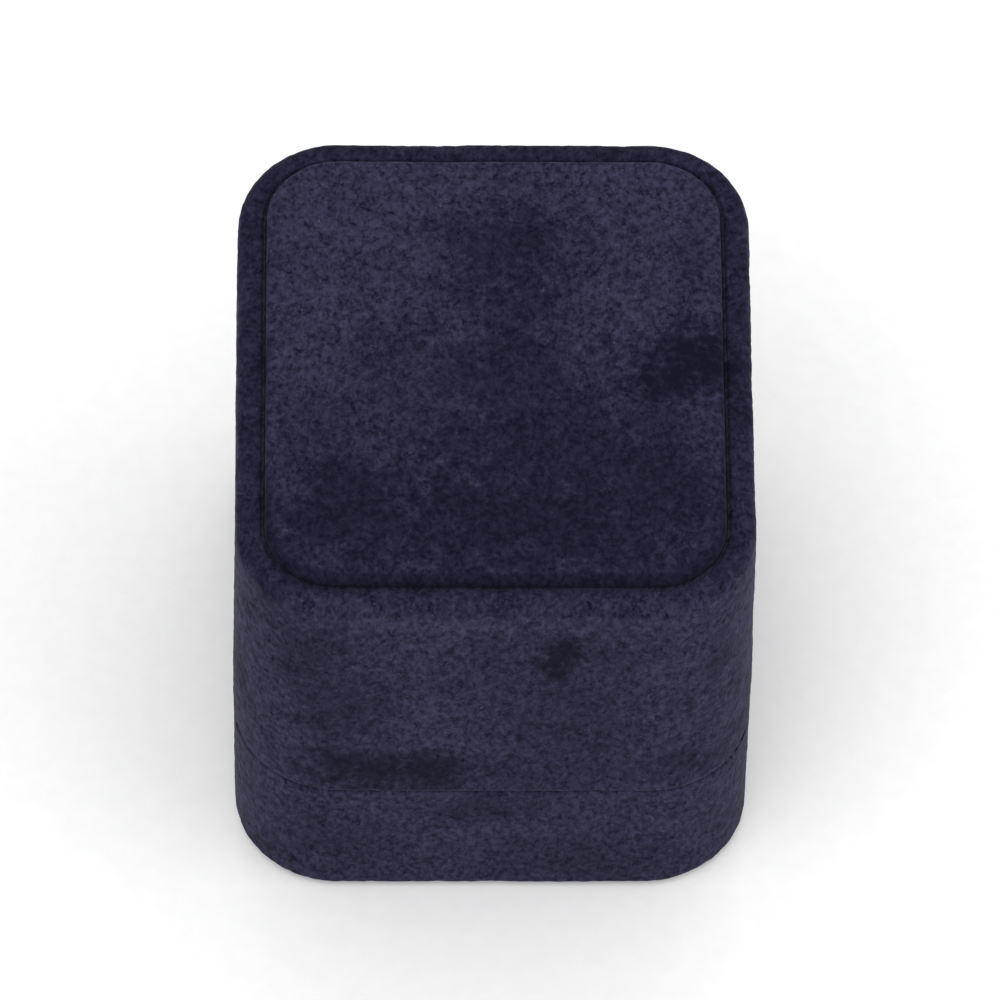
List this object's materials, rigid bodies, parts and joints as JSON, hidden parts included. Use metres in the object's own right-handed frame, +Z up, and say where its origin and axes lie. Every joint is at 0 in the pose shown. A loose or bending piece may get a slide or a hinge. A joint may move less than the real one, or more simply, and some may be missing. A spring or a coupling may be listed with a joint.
{
  "type": "ring box",
  "caption": "Velvet-covered ring box with rounded corners, a deep lift-off lid with a raised padded panel on top, and a split cushion inside a raised collar.",
  "frame": {"origin": "middle of the underside, on the surface that the box stands on", "axes": "+Z up, through the lid; the front faces -Y; the ring slot between the two cushion bars runs along X"},
  "size_m": [0.05, 0.0544, 0.0511],
  "materials": {
    "velvet": "matte",
    "satin": "satin",
    "moulded_plastic": "matte",
    "greyboard": "matte",
    "foam": "matte"
  },
  "bodies": {
    "base": {"base_shell": "moulded_plastic", "base_velvet": "velvet", "bottom_card": "greyboard", "bottom_velvet": "velvet", "collar_board": "greyboard", "collar_velvet": "velvet", "cushion_card": "greyboard", "cushion_block": "foam", "front_cushion_foam": "foam", "front_cushion_velvet": "velvet", "rear_cushion_foam": "foam", "rear_cushion_velvet": "velvet"},
    "lid": {"lid_shell": "moulded_plastic", "lid_velvet": "velvet", "top_panel_board": "greyboard", "top_panel_foam": "foam", "top_panel_velvet": "velvet", "lid_lining": "satin", "lid_pad_card": "greyboard", "lid_pad_foam": "foam", "lid_pad_satin": "satin"}
  },
  "joints": [
    {"name": "lid_lift", "type": "slide", "parent": "base", "child": "lid", "axis": [0, 0, 1], "range_m": [0, 0.035]}
  ]
}
